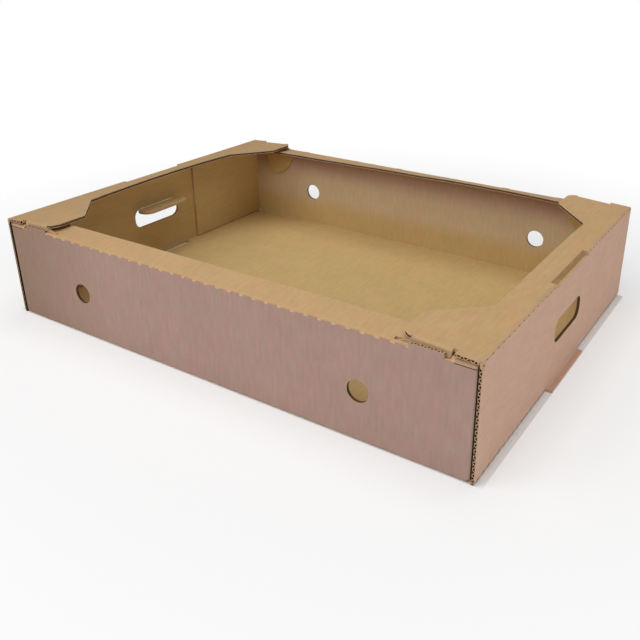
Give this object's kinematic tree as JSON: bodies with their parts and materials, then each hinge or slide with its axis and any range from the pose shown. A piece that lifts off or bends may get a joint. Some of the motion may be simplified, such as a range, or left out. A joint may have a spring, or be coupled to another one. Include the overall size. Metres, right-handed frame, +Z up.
{
  "type": "cardboard tray box",
  "caption": "Open stackable corrugated tray folded from one sheet, with end ledges, hand holes with flaps, vents and stacking slots.",
  "frame": {"origin": "underside of the base, below the middle of the tray", "axes": "+X along the long walls, +Y towards the back long wall, +Z up out of the open top"},
  "size_m": [0.6146, 0.44, 0.1242],
  "materials": {
    "kraft_board": "matte"
  },
  "bodies": {
    "tray": {"tray_sheet": "kraft_board"},
    "left_ledge": {"left_end_ledge": "kraft_board"},
    "right_ledge": {"right_end_ledge": "kraft_board"},
    "left_flap": {"left_hand_flap": "kraft_board"},
    "right_flap": {"right_hand_flap": "kraft_board"}
  },
  "joints": [
    {"name": "left_ledge_fold", "type": "hinge", "parent": "tray", "child": "left_ledge", "pos_m": [-0.2984, 0, 0.1184], "axis": [0, -1, 0], "range_deg": [0, 110]},
    {"name": "right_ledge_fold", "type": "hinge", "parent": "tray", "child": "right_ledge", "pos_m": [0.2984, 0, 0.1184], "axis": [0, 1, 0], "range_deg": [0, 110]},
    {"name": "left_flap_fold", "type": "hinge", "parent": "tray", "child": "left_flap", "pos_m": [-0.2968, 0, 0.076], "axis": [0, -1, 0], "range_deg": [-94, 56]},
    {"name": "right_flap_fold", "type": "hinge", "parent": "tray", "child": "right_flap", "pos_m": [0.2968, 0, 0.076], "axis": [0, 1, 0], "range_deg": [-94, 56]}
  ]
}
